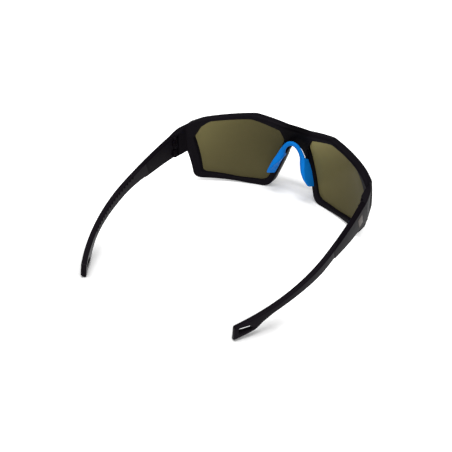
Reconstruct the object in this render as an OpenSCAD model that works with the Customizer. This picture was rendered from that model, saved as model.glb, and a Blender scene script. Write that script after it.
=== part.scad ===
// Wrap-around glacier glasses: a rigid front with two tinted lenses, a soft nose saddle,
// and two temples that fold inwards on vertical hinge screws.
// +X is the wearer's left, -Y is forwards and +Z is up. The part stands on z = 0.

/* [Lenses] */
// Width of each lens opening, from its nose corner to its temple corner
lens_w = 55.4; // [50:0.2:60]
// Height of each lens opening at the brow
lens_h = 45.5; // [42:0.5:49]
// Gap between the two lens openings at the bridge
lens_gap = 18.4; // [16:0.2:21]
// Thickness of the lenses
lens_t = 2; // [1.6:0.1:2.4]
// Distance from the rear face of the rim forwards to the lens
lens_seat = 2.2; // [1.8:0.1:2.6]
// Depth of the groove that holds the edge of the lens
groove_depth = 1; // [0.6:0.1:1.4]
// Clearance of the lens in its groove
lens_clear = 0.1; // [0.05:0.01:0.15]

/* [Front] */
// Radius of the rear face, a sphere that both rims share
base_r = 94; // [90:1:105]
// Depth of the rims, from the rear face to the front face
rim_depth = 5.6; // [5.2:0.1:7]
// Rim below the lens opening
rim_low = 2.8; // [2:0.1:4]
// Rim above the lens opening at the brow
rim_top = 3.2; // [2.5:0.1:5]
// Rim beside the lens opening at the temple corner
rim_side = 3.3; // [2.8:0.1:4]
// Rim beside the lens opening at the top of the nose
rim_nose = 4.2; // [3.6:0.1:5]
// Height of the arch over the nose above the table
bridge_low = 35.2; // [34:0.2:37]
// Height of the bridge itself
bridge_h = 12; // [10:0.2:13]
// Height of the front's outer corners above the table
corner_top = 43; // [41:0.2:44]
// Height of the underside of the end pieces above the table
end_low = 22.4; // [20:0.2:24]

/* [Hinges] */
// Distance from the middle of the front back to the seam between end piece and temple
seam_y = 40.6; // [39:0.2:46]
// Height of the top of the temple at the seam
hinge_top = 37.6; // [36:0.2:40]
// Distance from the seam forwards to the hinge screw
hinge_back = 2; // [1.6:0.1:2.4]
// Radius of the hinge knuckles
knuckle_r = 1.85; // [1.6:0.05:2]
// Thickness of the outer skin that hides the knuckles
hinge_skin = 0.8; // [0.6:0.1:1]
// Thickness of the end piece's lug above the knuckles
roof_t = 2; // [1.6:0.1:2.6]
// Thickness of the end piece's lug below the knuckles
floor_t = 1.6; // [1.4:0.1:2.2]
// Height of the end piece's middle tongue
tongue_h = 3; // [2:0.2:4]
// Axial gap between neighbouring lugs and knuckles
knuckle_gap = 0.2; // [0.1:0.05:0.3]
// Gap that lets the temple swing past the end piece
swing_gap = 0.3; // [0.25:0.05:0.4]
// Diameter of the hinge screw
screw_d = 1.4; // [1.2:0.1:1.6]
// Diameter of the head of the hinge screw
head_d = 2.4; // [2:0.1:2.8]
// Height of the head of the hinge screw
head_h = 0.7; // [0.5:0.05:0.9]
// Radial clearance of the hinge screw in its bores
screw_clear = 0.03; // [0.02:0.01:0.08]

/* [Temples] */
// Half the distance between the outer faces of the temples at their widest
temple_x = 75.8; // [74:0.2:78]
// Radius of the slight outward bow near the hinge
bow_r = 350; // [300:10:500]
// Length of the temple from the seam along its outer face
temple_len = 118.7; // [110:0.5:126]
// Distance from the seam to the start of the bend behind the ear
bend_at = 44; // [40:0.5:50]
// Radius of the bend
bend_r = 135; // [115:1:150]
// Angle of the bend
bend_deg = 30; // [24:0.5:32]
// Height of the tip at its end
tip_h = 8.4; // [7.5:0.1:9.5]
// Thickness of the temple at the hinge
arm_t_hinge = 3.9; // [3.7:0.1:4.3]
// Thickness of the temple behind the hinge
arm_t = 3.6; // [3.2:0.1:4]
// Distance from the seam to the joint between arm and tip, on the outer face
joint_at = 41.5; // [36:0.5:46]
// How much further forwards that joint lies on the inner face
joint_slant = 15; // [8:0.5:18]
// How much the soft tip is set in below the arm at the joint
tip_step = 0.6; // [0.3:0.1:0.9]
// How far the tip's lower edge leans back, per millimetre of height
tip_lean = 0.15; // [0:0.01:0.2]
// Length of the cord slot in the tip
slot_len = 9; // [7:0.5:10]
// Height of the cord slot in the tip
slot_h = 2.7; // [2:0.1:3]
// Distance from the end of the tip to the middle of the cord slot
slot_from_end = 7.1; // [6:0.1:9]
// Thickness of the metal core
core_t = 1; // [0.8:0.1:1.2]
// Height of the metal core
core_h = 2.2; // [1.6:0.1:2.4]
// Clearance of the metal core and the badge in their pockets
inlay_clear = 0.05; // [0.03:0.01:0.08]
// Length of the badge on the outer face
badge_w = 5.6; // [4:0.1:7]
// Height of the badge
badge_h = 6.4; // [5:0.1:7]
// Thickness of the badge
badge_t = 0.6; // [0.4:0.05:0.8]

/* [Nose saddle] */
// Height of the top of the saddle's arch, along its middle line
nose_top = 38.6; // [37.5:0.1:40]
// Height of the lower end of the pads, along their middle line
nose_low = 11.6; // [10:0.2:14]
// Thickness of the arch
arch_t = 2.9; // [2.4:0.1:3.4]
// Thickness of the saddle where its arms meet the pads
shoulder_t = 4.7; // [4:0.1:5]
// Thickness of the pads at their front edge
pad_front_t = 3.1; // [2.8:0.1:3.6]
// Thickness of the pads at their rear edge
pad_rear_t = 1.3; // [1.2:0.1:1.8]
// Depth of the pads' rear edge behind the middle of the front
pad_deep = 12; // [10.6:0.2:13]
// Depth of the arch, front to back
arch_deep = 2.4; // [2.2:0.1:3]
// Gap between the pads and the rear face of the rims
pad_gap = 0.4; // [0.3:0.05:0.6]
// Thickness of the tabs that carry the saddle
tab_t = 1.5; // [1.2:0.1:1.6]
// Height of the tabs that carry the saddle
tab_h = 8; // [6:0.2:8.6]
// Length of the tabs behind the rear face of the rims
tab_len = 2.2; // [1.6:0.1:2.6]
// Diameter of the bent wire inside the saddle
wire_d = 1; // [0.8:0.1:1.2]

/* [Hidden] */
$fn = 64;

frame_colour = [0.10, 0.09, 0.11];
rubber_colour = [0.14, 0.13, 0.15];
lens_colour = [0.36, 0.33, 0.21, 0.75];
nose_colour = [0.05, 0.44, 0.76];
steel_colour = [0.72, 0.72, 0.74];
badge_colour = [0.34, 0.30, 0.27];

// Plain vector helpers
function unit(v) = v / norm(v);
function turned(v, a) = [v.x * cos(a) - v.y * sin(a), v.x * sin(a) + v.y * cos(a)];
function flat(list) = [for (item = list) each item];
function wrap(list, i) = list[(i + len(list)) % len(list)];
function flat2(p) = [p[0], p[1]];

// Rounded outlines: corners are [x, z, radius], in anticlockwise order
corner_steps = 6;
function corner_arc(a, p, b, r) =
    let (u = unit(a - p), v = unit(b - p), half = acos(u * v) / 2)
    let (cut = min(r / tan(half), 0.48 * min(norm(a - p), norm(b - p))))
    let (centre = p + unit(u + v) * cut / cos(half), spoke = p + u * cut - centre)
    let (sweep = -sign(cross(u, v)) * (180 - 2 * half))
    [for (k = [0:corner_steps]) centre + turned(spoke, sweep * k / corner_steps)];
function rounded(corners) = flat([
    for (i = [0:len(corners) - 1])
        corner_arc(flat2(wrap(corners, i - 1)), flat2(corners[i]), flat2(wrap(corners, i + 1)), corners[i][2])
]);
// An outline moved outwards by d
function grown(outline, d) = [
    for (i = [0:len(outline) - 1])
        let (t = unit(wrap(outline, i + 1) - wrap(outline, i - 1)))
        outline[i] + d * [t.y, -t.x]
];

// Lens opening of the +X side: shares of its width and height, and corner radii
opening_shape = [
    [0, 0.741, 3], [0.198, 0.011, 7], [0.52, 0, 40], [0.91, 0.079, 3.5],
    [1, 0.653, 3], [0.935, 0.81, 10], [0.83, 0.918, 6], [0.375, 1, 8], [0.05, 0.881, 1.5]
];
opening_corners = [
    for (c = opening_shape) [lens_gap / 2 + c[0] * lens_w, rim_low + c[1] * lens_h, c[2]]
];
opening = rounded(opening_corners);
nose_foot = opening_corners[1];
temple_foot = opening_corners[3];
temple_corner = opening_corners[4];
brow_end = opening_corners[6];
brow_peak = opening_corners[7];

// Spheres of the front, centred behind it
front_h = rim_low + lens_h + rim_top;
base_z = front_h / 2;
front_r = base_r + rim_depth;
lens_rear_r = base_r + lens_seat;
lens_front_r = lens_rear_r + lens_t;
function sphere_y(x, z, r) = base_r - sqrt(r * r - x * x - (z - base_z) * (z - base_z));

// Path of a temple's outer face in plan: s runs along it from the seam
bow_y = seam_y + 0.9 * bend_at;
bend_y = seam_y + bend_at;
bend_len = bend_r * bend_deg * PI / 180;
function heading(s) =
    s > bend_at ? min(bend_deg, (s - bend_at) / bend_r * 180 / PI)
    : -atan(max(0, bow_y - seam_y - s) / bow_r);
function bow(s) = pow(max(0, bow_y - seam_y - s), 2) / (2 * bow_r);
function path_point(s) =
    let (a = max(0, heading(s)), rest = max(0, s - bend_at - bend_len))
    s <= bend_at ? [temple_x - bow(s), seam_y + s]
    : [temple_x - bend_r * (1 - cos(a)) - rest * sin(a), bend_y + bend_r * sin(a) + rest * cos(a)];
function inward(s) = [-cos(heading(s)), -sin(heading(s))];

// The temple's top edge is one straight line from the end piece down to the tip, which stands on z = 0
tip_y = path_point(temple_len).y;
slope = (hinge_top - tip_h) / (tip_y - seam_y);
function top_z(y) = hinge_top - slope * (y - seam_y);
// Distances from the temple's end at which the tip's waist and then its flare start and end
waist_from = 63;
waist_to = 27;
flare_from = 19.5;
flare_to = 12;
// Depth of the temple below that line, as [distance from the seam, depth]
arm_depths = [[0, hinge_top - end_low], [joint_at - joint_slant, 10.5], [joint_at, 7.5]];
tip_depths = [
    [joint_at - joint_slant, 10.5], [joint_at, 7.5], [temple_len - waist_from, 6.1],
    [temple_len - waist_to, 4.4], [temple_len - flare_from, 5.8], [temple_len - flare_to, 8.9],
    [temple_len, tip_h]
];
arm_thickness = [[0, arm_t_hinge], [14, arm_t], [temple_len, arm_t]];
// Bevels of the temple's edges, of which the outer face's lower one is wider except along the waist
bevel = 0.4;
low_bevel = 1.3;
low_bevels = [
    [joint_at, low_bevel], [temple_len - waist_from, bevel], [temple_len - waist_to, bevel],
    [temple_len - flare_to, low_bevel]
];

// A point of a temple: s along it, then inwards from the outer face, then down from the top edge.
// rake moves what lies lower forwards
function temple_point(s, across, down, rake) =
    let (p = path_point(s), n = inward(s))
    [p.x + n.x * across, p.y + n.y * across - rake * down, top_z(p.y) - down];
// One cross-section. slant moves its inner face forwards along the temple
function temple_ring(s, depths, step, slant, rake) =
    let (t = lookup(s - slant, arm_thickness), cut = lookup(s, low_bevels), far = t - bevel)
    let (near_s = s - slant * bevel / t, cut_s = s - slant * cut / t)
    let (far_s = s - slant * far / t, inner_s = s - slant)
    let (low = lookup(s, depths) - step, far_low = lookup(far_s, depths) - step)
    [
        temple_point(s, 0, bevel, rake),
        temple_point(s, 0, low - cut, rake),
        temple_point(cut_s, cut, low, rake),
        temple_point(far_s, far, far_low, rake),
        temple_point(inner_s, t, far_low - bevel, rake),
        temple_point(inner_s, t, bevel, rake),
        temple_point(far_s, far, 0, rake),
        temple_point(near_s, bevel, 0, rake)
    ];
// A flat strip that follows the temple, between two distances inwards and two depths below the top
function strip_ring(s, near, far, high, low) = [
    temple_point(s, near, high, slope), temple_point(s, near, low, slope),
    temple_point(s, far, low, slope), temple_point(s, far, high, slope)
];

// Solid through a row of rings, each with the same number of points
module loft(rings) {
    n = len(rings[0]);
    last = (len(rings) - 1) * n;
    sides = flat([
        for (i = [0:len(rings) - 2], j = [0:n - 1])
            let (a = i * n + j, b = i * n + (j + 1) % n)
            [[a, b + n, b], [a, a + n, b + n]]
    ]);
    caps = [[for (j = [0:n - 1]) j], [for (j = [n - 1:-1:0]) last + j]];
    polyhedron(flat(rings), concat(sides, caps), convexity = 8);
}

// Hinge of the +X side
path_start = path_point(0);
hinge_x = path_start.x - hinge_skin - swing_gap - knuckle_r;
hinge_y = seam_y - hinge_back;
pocket_low = end_low + floor_t;
pocket_high = hinge_top - roof_t;
knuckle_h = (pocket_high - pocket_low - tongue_h - 4 * knuckle_gap) / 2;
tongue_low = pocket_low + knuckle_h + 2 * knuckle_gap;
upper_low = tongue_low + tongue_h + knuckle_gap;
tongue_r = knuckle_r - 0.4;
screw_top = hinge_top - 0.5;
// Overlap of solids that are joined, and reach of cuts that run out of the part
sunk = 0.5;
reach = 20;
corner_x = lens_gap / 2 + lens_w + rim_side;
corner_y = sphere_y(corner_x, base_z, front_r);

// Outline of the whole front: the +X half, then its mirror image. nose_wall sets its foot beside the nose
nose_wall = 2.8;
front_half = [
    [lens_gap / 2 - rim_nose, bridge_low, 5],
    [nose_foot[0] - nose_wall, 0, 7],
    [nose_foot[0] + 0.18 * lens_w, 0, 40],
    [temple_foot[0] + 0.68 * rim_side, temple_foot[1] - 1.2 * rim_low, 3.5],
    [corner_x - 0.2, end_low + 1.6, 3],
    [corner_x, corner_top, 1],
    [temple_corner[0] - 3.6, brow_end[1] + 0.44 * rim_top, 20],
    [brow_peak[0] - 0.5, front_h, 8],
    [lens_gap / 2 - 1.2, bridge_low + bridge_h, 10]
];
front_outline = rounded(concat(front_half, [
    for (i = [len(front_half) - 1:-1:0]) [-front_half[i][0], front_half[i][1], front_half[i][2]]
]));

// Middle of the part's box in Y: the front's foremost point lies on the rim beside the nose
nose_edge_a = flat2(front_half[0]);
nose_edge_b = flat2(front_half[1]);
nose_edge = unit(nose_edge_b - nose_edge_a);
nose_reach = abs(cross(nose_edge, [0, base_z] - nose_edge_a));
front_y = base_r - sqrt(front_r * front_r - nose_reach * nose_reach);
back_y = tip_y + tip_lean * (tip_h - low_bevel);
origin_y = (front_y + back_y) / 2;
function nose_x(z) = nose_edge_a.x + (bridge_low - z) * nose_edge.x / -nose_edge.y;

// Nose saddle: a middle line over the arch and down the pad
pad_shift = 1;
pad_top = bridge_low - 4.2;
bend_z = bridge_low + 0.3;
arch_a = [0, nose_top];
arch_b = [3.4, nose_top];
arch_c = [nose_x(bend_z) + pad_shift, bend_z];
arch_d = [nose_x(pad_top) + pad_shift, pad_top];
function arch_point(t) =
    let (u = 1 - t)
    pow(u, 3) * arch_a + 3 * t * u * u * arch_b + 3 * t * t * u * arch_c + pow(t, 3) * arch_d;
arch_steps = 9;
pad_steps = 12;
pad_down = pad_top - nose_low;
saddle_half = concat(
    [for (k = [0:arch_steps]) arch_point(k / arch_steps)],
    [for (k = [1:pad_steps])
        let (z = pad_top - pad_down * k / pad_steps)
        [nose_x(z) + pad_shift, z]]
);
saddle_count = len(saddle_half) - 1;
// Share of the way down the pad, below 0 on the arch
function pad_share(z) = (pad_top - z) / pad_down;
// Depth of the rear edge, and half of the difference between its outer and inner sides
function rear_at(z) = pad_deep * lookup(pad_share(z), [
    [0, 0.55], [0.16, 0.675], [0.46, 0.95], [0.57, 0.99], [0.68, 1], [0.8, 0.97], [0.9, 0.925], [1, 0.87]
]);
function rear_turn(z) = lookup(pad_share(z), [[-0.1, 0], [0.05, 0.7], [0.27, 0.9], [0.48, 0]]);
// The pads' front edge lies close to the rims and is blunt below, the arch stands free of them
function front_at(x, z) =
    let (free = lookup(pad_share(z), [[0.03, 1], [0.16, 0]]))
    let (blunt = lookup(pad_share(z), [[0.95, 0], [1, 0.9]]))
    free * (rear_at(z) - arch_deep) + (1 - free) * (sphere_y(x, z, base_r) + pad_gap + blunt);
// Thickness of the arms, of the rear edge and of the front edge
function saddle_t(z) = lookup(pad_share(z), [[-0.16, arch_t], [0.16, shoulder_t]]);
function rear_t(z) = pad_rear_t + (saddle_t(z) - pad_rear_t) * lookup(pad_share(z), [
    [0.16, 1], [0.26, 0.9], [0.37, 0.7], [0.47, 0.42], [0.58, 0.2], [0.7, 0]
]);
function low_taper(z) = lookup(pad_share(z), [[0.7, 1], [1, 0.62]]);
function front_t(z) =
    let (mix = lookup(pad_share(z), [[0.05, 0], [0.32, 1]]))
    mix * pad_front_t * low_taper(z) + (1 - mix) * saddle_t(z);
function flare(z) = lookup(pad_share(z), [[0.05, 0], [0.2, -0.6], [0.35, -0.4], [0.6, -0.1], [1, -0.2]]);
// The lower end slants up towards the rear, about this depth
end_y = 6;
function end_slant(z) = lookup(pad_share(z), [[0.65, 0], [1, 0.45]]);
function thin_end(i) = i == saddle_count ? 0.7 : 1;
edge_in = 0.4;
edge_share = 0.14;
// Cross-section number i of the saddle, square to its middle line: offsets from that line, and depths
function saddle_ring(i) =
    let (p = saddle_half[i], z = p.y)
    let (ahead = saddle_half[min(i + 1, saddle_count)], behind = saddle_half[max(i - 1, 0)])
    let (t = i == 0 ? [1, 0] : unit(ahead - behind), n = [-t.y, t.x])
    let (rear_out = saddle_t(z) / 2, rear_in = rear_out - rear_t(z) * thin_end(i))
    let (front_out = saddle_t(z) / 2 + flare(z), front_in = front_out - front_t(z) * thin_end(i))
    let (rear_cut = edge_share * (rear_out - rear_in), front_cut = edge_share * (front_out - front_in))
    let (yf = front_at(abs(p.x) + front_out, z))
    let (yi = rear_at(z) - rear_turn(z), yo = rear_at(z) + rear_turn(z))
    [for (q = [
        [front_in + front_cut, yf], [front_in, yf + edge_in], [(front_in + rear_in) / 2, (yf + yi) / 2],
        [rear_in, yi - edge_in], [rear_in + rear_cut, yi], [rear_out - rear_cut, yo],
        [rear_out, yo - edge_in], [(front_out + rear_out) / 2, (yf + yo) / 2],
        [front_out, yf + edge_in], [front_out - front_cut, yf]
    ]) [p.x + n.x * q[0], q[1], p.y + n.y * q[0] + end_slant(z) * (q[1] - end_y)]];
function mirrored(ring) = [for (p = ring) [-p.x, p.y, p.z]];
// The wire's middle line and its rings
wire_count = arch_steps + 5;
wire_sides = 8;
function wire_in(z) = lookup(pad_share(z), [[-0.05, arch_deep / 2], [0.2, 0.22 * pad_deep]]);
function wire_out(z) = lookup(pad_share(z), [[0, 0], [0.16, 0.1], [0.48, 0.8]]);
function wire_ring(i, r) =
    let (p = saddle_half[i], ahead = saddle_half[i + 1], behind = saddle_half[max(i - 1, 0)])
    let (t = i == 0 ? [1, 0] : unit(ahead - behind), n = [-t.y, t.x])
    let (m = p + n * wire_out(p.y), y = rear_at(p.y) - wire_in(p.y))
    [for (k = [0:wire_sides - 1])
        let (a = -360 * k / wire_sides)
        [m.x + n.x * r * cos(a), y + r * sin(a), m.y + n.y * r * cos(a)]];
function both_halves(rings) = concat(
    [for (i = [len(rings) - 1:-1:1]) mirrored(rings[i])], rings
);

// Placement
module place() {
    translate([0, -origin_y, 0]) children();
}
module right_side() {
    mirror([1, 0, 0]) children();
}
// A sphere of the front
module base_sphere(r) {
    translate([0, base_r, base_z]) sphere(r = r, $fn = 96);
}
// An outline in X and Z, run through the front along Y
module through(outline) {
    translate([0, hinge_y, 0]) rotate([90, 0, 0]) linear_extrude(hinge_y + reach) polygon(outline);
}
// An outline in Y and Z, run along X across the hinge
module across(outline) {
    translate([corner_x - reach, 0, 0]) rotate([90, 0, 90]) linear_extrude(2 * reach) polygon(outline);
}
module hinge_bore(d, low, high) {
    translate([hinge_x, hinge_y, low]) cylinder(d = d, h = high - low);
}

// End piece of the +X side, with its three hinge lugs. Its top bends at a knee ahead of the seam
knee_back = 7.6;
knee_up = 3;
module end_block() {
    front_x = corner_x - 0.4;
    back_x = corner_x - 0.8;
    intersection() {
        translate([0, 0, end_low]) linear_extrude(front_h) polygon([
            [front_x, sphere_y(front_x, base_z, base_r + rim_depth / 2)],
            [path_start.x, seam_y],
            [path_start.x, seam_y + sunk],
            [hinge_x - knuckle_r - sunk, seam_y + sunk],
            [back_x, sphere_y(back_x, base_z, base_r + rim_depth / 4)]
        ]);
        across([
            [corner_y - 2, end_low],
            [seam_y - slope * (hinge_top - end_low), end_low],
            [seam_y, hinge_top],
            [seam_y - knee_back, hinge_top + knee_up],
            [corner_y + 2, corner_top],
            [corner_y - 2, corner_top]
        ]);
    }
}
module lug(r, low, high) {
    hinge_bore(2 * r, low, high);
    arm = knuckle_r + swing_gap + sunk;
    translate([hinge_x - r, hinge_y - arm, low]) cube([2 * r, arm, high - low]);
}
module end_piece() {
    wall_y = hinge_y - knuckle_r - swing_gap;
    inner_x = hinge_x - knuckle_r;
    difference() {
        end_block();
        translate([inner_x - reach, wall_y, pocket_low])
            cube([reach + 2 * knuckle_r + swing_gap, reach, pocket_high - pocket_low]);
        translate([inner_x - reach, wall_y, 0]) cube([reach, reach, front_h]);
        translate([inner_x - reach, hinge_y, 0]) cube([reach + knuckle_r, reach, front_h]);
    }
    lug(knuckle_r, end_low, pocket_low);
    lug(tongue_r, tongue_low, tongue_low + tongue_h);
    lug(knuckle_r, pocket_high, hinge_top);
}
// Tab on the rear face of the +X rim that carries the saddle
tab_x = nose_x(pad_top) + 1.5;
tab_low = pad_top - 4.6;
module saddle_tab(extra) {
    root_y = sphere_y(tab_x, pad_top, base_r);
    translate([tab_x - extra, root_y - 2 * sunk, tab_low - extra])
        cube([tab_t + 2 * extra, 2 * sunk + tab_len + extra, tab_h + 2 * extra]);
}
module lens_shell(outline, inner_r, outer_r) {
    difference() {
        intersection() {
            through(outline);
            base_sphere(outer_r);
        }
        base_sphere(inner_r);
    }
}

module frame_front() {
    color(frame_colour) place() difference() {
        union() {
            lens_shell(front_outline, base_r, front_r);
            for (side = [0, 1]) mirror([side, 0, 0]) {
                end_piece();
                saddle_tab(0);
            }
        }
        for (side = [0, 1]) mirror([side, 0, 0]) {
            through(opening);
            lens_shell(grown(opening, groove_depth), lens_rear_r - lens_clear, lens_front_r + lens_clear);
            hinge_bore(screw_d + 2 * screw_clear, end_low - sunk, screw_top);
            hinge_bore(head_d + 2 * screw_clear, end_low - sunk, end_low + head_h);
        }
    }
}
module lens() {
    color(lens_colour) lens_shell(grown(opening, groove_depth - lens_clear), lens_rear_r, lens_front_r);
}
module lens_left() {
    place() lens();
}
module lens_right() {
    place() right_side() lens();
}

module nose_piece() {
    color(nose_colour) place() difference() {
        loft(both_halves([for (i = [0:saddle_count]) saddle_ring(i)]));
        loft(both_halves([for (i = [0:wire_count]) wire_ring(i, wire_d / 2 + inlay_clear)]));
        for (side = [0, 1]) mirror([side, 0, 0]) saddle_tab(inlay_clear);
    }
}
module nose_wire() {
    color(steel_colour) place() loft(both_halves([for (i = [0:wire_count]) wire_ring(i, wire_d / 2)]));
}

// Metal core: a strip in the middle of the temple's thickness
core_from = 9;
core_short = 21;
core_to = temple_len - core_short;
core_drop = 1.4;
core_steps = 16;
module core_strip(extra) {
    from = core_from - extra;
    to = core_to + extra;
    loft([
        for (k = [0:core_steps])
            let (s = from + (to - from) * k / core_steps, mid = lookup(s, arm_thickness) / 2)
            strip_ring(s, mid - core_t / 2 - extra, mid + core_t / 2 + extra,
                core_drop - extra, core_drop + core_h + extra)
    ]);
}
// Badge: a thin plate let into the outer face near the hinge
badge_at = 6.2;
badge_drop = 2.9;
badge_proud = 0.1;
module badge_plate(extra) {
    loft([
        for (k = [0:3])
            let (s = badge_at - extra + (badge_w + 2 * extra) * k / 3)
            strip_ring(s, -badge_proud - extra, badge_t - badge_proud + extra,
                badge_drop - extra, badge_drop + badge_h + extra)
    ]);
}

module temple_arm() {
    clear_r = knuckle_r + swing_gap;
    seam_gap = 0.15;
    plain_len = joint_at - joint_slant;
    straight = [for (k = [0:4]) seam_gap + (plain_len - seam_gap) * k / 4];
    slanted = [for (k = [1:3]) joint_slant * k / 3];
    difference() {
        union() {
            difference() {
                loft(concat(
                    [for (s = straight) temple_ring(s, arm_depths, 0, 0, slope)],
                    [for (q = slanted) temple_ring(plain_len + q, arm_depths, 0, q, slope)]
                ));
                translate([hinge_x - reach, hinge_y - reach, 0])
                    cube([reach + clear_r, reach + clear_r, front_h]);
            }
            for (low = [pocket_low + knuckle_gap, upper_low]) {
                hinge_bore(2 * knuckle_r, low, low + knuckle_h);
                translate([hinge_x, hinge_y, low]) cube([knuckle_r, clear_r + 2 * sunk, knuckle_h]);
            }
        }
        hinge_bore(screw_d + 2 * screw_clear, end_low, hinge_top);
        core_strip(inlay_clear);
        badge_plate(inlay_clear);
    }
}
module cord_slot() {
    mid = path_point(temple_len - slot_from_end);
    lean = slot_h / 2;
    translate([mid.x, mid.y, top_z(mid.y) / 2 + 0.9]) rotate([90, 0, 90 + bend_deg])
        translate([0, 0, -2 * arm_t]) linear_extrude(4 * arm_t) polygon([
            [-slot_len / 2, -slot_h / 2], [slot_len / 2, -slot_h / 2],
            [slot_len / 2, slot_h / 2], [-slot_len / 2 + lean, slot_h / 2]
        ]);
}
// The tip starts along the slanted joint, is square to the temple at blend_at, and leans back at its end
joint_gap = 0.6;
blend_at = joint_at + 18;
module temple_tip() {
    start = joint_at + joint_gap;
    starts = [for (k = [0:3]) k / 3];
    rests = [for (k = [1:18]) k / 18];
    difference() {
        loft(concat(
            [for (k = starts)
                let (s = start + (blend_at - start) * k, fade = 1 - k)
                temple_ring(s, tip_depths, tip_step * fade, joint_slant * fade, slope)],
            [for (k = rests)
                let (s = blend_at + (temple_len - blend_at) * k, rake = slope * (1 - k) - tip_lean * k)
                temple_ring(s, tip_depths, 0, 0, rake)]
        ));
        core_strip(inlay_clear);
        cord_slot();
    }
}
module temple_arm_left() {
    color(frame_colour) place() temple_arm();
}
module temple_arm_right() {
    color(frame_colour) place() right_side() temple_arm();
}
module temple_tip_left() {
    color(rubber_colour) place() temple_tip();
}
module temple_tip_right() {
    color(rubber_colour) place() right_side() temple_tip();
}
module temple_core_left() {
    color(steel_colour) place() core_strip(0);
}
module temple_core_right() {
    color(steel_colour) place() right_side() core_strip(0);
}
module temple_badge_left() {
    color(badge_colour) place() badge_plate(0);
}
module temple_badge_right() {
    color(badge_colour) place() right_side() badge_plate(0);
}
// Hinge screw, driven in from below, with a slotted head
module hinge_screw() {
    slot_w = 0.4;
    slot_deep = 0.3;
    difference() {
        union() {
            hinge_bore(screw_d, end_low, screw_top);
            hinge_bore(head_d, end_low, end_low + head_h - screw_clear);
        }
        translate([hinge_x - head_d, hinge_y - slot_w / 2, end_low - sunk])
            cube([2 * head_d, slot_w, sunk + slot_deep]);
    }
}
module hinge_screw_left() {
    color(steel_colour) place() hinge_screw();
}
module hinge_screw_right() {
    color(steel_colour) place() right_side() hinge_screw();
}

frame_front();
lens_left();
lens_right();
nose_piece();
nose_wire();
temple_arm_left();
temple_arm_right();
temple_tip_left();
temple_tip_right();
temple_core_left();
temple_core_right();
temple_badge_left();
temple_badge_right();
hinge_screw_left();
hinge_screw_right();
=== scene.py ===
import math

import bmesh
import bpy
import numpy as np
from mathutils import Matrix, Vector
from mathutils.geometry import delaunay_2d_cdt


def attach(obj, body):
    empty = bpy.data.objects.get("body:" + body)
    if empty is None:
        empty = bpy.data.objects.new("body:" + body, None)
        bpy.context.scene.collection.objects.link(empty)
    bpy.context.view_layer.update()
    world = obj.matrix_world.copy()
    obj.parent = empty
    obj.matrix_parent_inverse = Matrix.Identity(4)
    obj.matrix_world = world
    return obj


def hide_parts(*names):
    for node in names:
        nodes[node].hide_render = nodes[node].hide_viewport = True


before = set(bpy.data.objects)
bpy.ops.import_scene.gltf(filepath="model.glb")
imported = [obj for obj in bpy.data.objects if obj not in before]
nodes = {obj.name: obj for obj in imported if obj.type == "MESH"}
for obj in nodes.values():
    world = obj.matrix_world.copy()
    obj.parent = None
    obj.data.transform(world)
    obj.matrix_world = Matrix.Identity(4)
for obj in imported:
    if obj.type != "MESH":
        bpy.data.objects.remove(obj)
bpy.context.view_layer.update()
MM = 0.001

# Camera, at the angle of the photo
scene = bpy.context.scene
scene.view_settings.view_transform = "Standard"
camera = bpy.data.objects.new("camera", bpy.data.cameras.new("camera"))
scene.collection.objects.link(camera)
camera.data.lens = 104.2
camera.data.sensor_width = 36
camera.data.clip_start = 0.01
camera.location = (-0.3761, 0.5637, 0.4592)
aim = Vector((-0.0021, 0.0098, 0.0195))
camera.rotation_euler = (aim - camera.location).to_track_quat("-Z", "Y").to_euler()
scene.camera = camera

# Sizes of the glasses in millimetres. X is the wearer's left, y runs backwards from the middle of the front, z is up.
# They are those of the part's source, apart from the scene's own, which come last.
# Lens openings, and the lenses in their grooves
LENS_W, LENS_H, LENS_GAP = 55.4, 45.5, 18.4
LENS_REAR_R, LENS_FRONT_R, GROOVE, LENS_CLEAR = 96.2, 98.2, 1.0, 0.1
# Rear and front sphere of the front, and the widths of its rims
BASE_R, FRONT_R = 94.0, 99.6
RIM_LOW, RIM_TOP, RIM_SIDE, RIM_NOSE = 2.8, 3.2, 3.3, 4.2
# Bridge and end pieces
BRIDGE_LOW, BRIDGE_H, CORNER_TOP, END_LOW = 35.2, 12.0, 43.0, 22.4
KNEE_BACK, KNEE_UP = 7.6, 3.0
# Hinges
SEAM_Y, HINGE_TOP, HINGE_BACK, KNUCKLE_R = 40.6, 37.6, 2.0, 1.85
SKIN, ROOF_T, FLOOR_T, TONGUE_H, KNUCKLE_GAP, SWING_GAP = 0.8, 2.0, 1.6, 3.0, 0.2, 0.3
# Temples: their path, and where arm and tip meet
TEMPLE_X, BOW_R, TEMPLE_LEN, BEND_AT, BEND_R = 75.8, 350.0, 118.7, 44.0, 135.0
BEND = math.radians(30)
TIP_H, ARM_T_HINGE, ARM_T, JOINT_AT, JOINT_SLANT = 8.4, 3.9, 3.6, 41.5, 15.0
BEVEL, LOW_BEVEL = 0.4, 1.3
WAIST_FROM, WAIST_TO, FLARE_FROM, FLARE_TO = 63.0, 27.0, 19.5, 12.0
TIP_STEP, TIP_LEAN, SLOT_LEN, SLOT_H, SLOT_FROM_END = 0.6, 0.15, 9.0, 2.7, 7.1
BADGE_AT, BADGE_W, BADGE_H, BADGE_DROP, BADGE_PROUD, BADGE_T = 6.2, 5.6, 6.4, 2.9, 0.1, 0.6
# Nose saddle and its tabs
NOSE_TOP, NOSE_LOW, NOSE_WALL, PAD_GAP = 38.6, 11.6, 2.8, 0.4
ARCH_T, SHOULDER_T, PAD_FRONT_T, PAD_REAR_T, PAD_DEEP, ARCH_DEEP = 2.9, 4.7, 3.1, 1.3, 12.0, 2.4
TAB_T, TAB_H, TAB_LEN = 1.5, 8.0, 2.2
FRONT_H = RIM_LOW + LENS_H + RIM_TOP
BASE_Z = FRONT_H / 2
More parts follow.
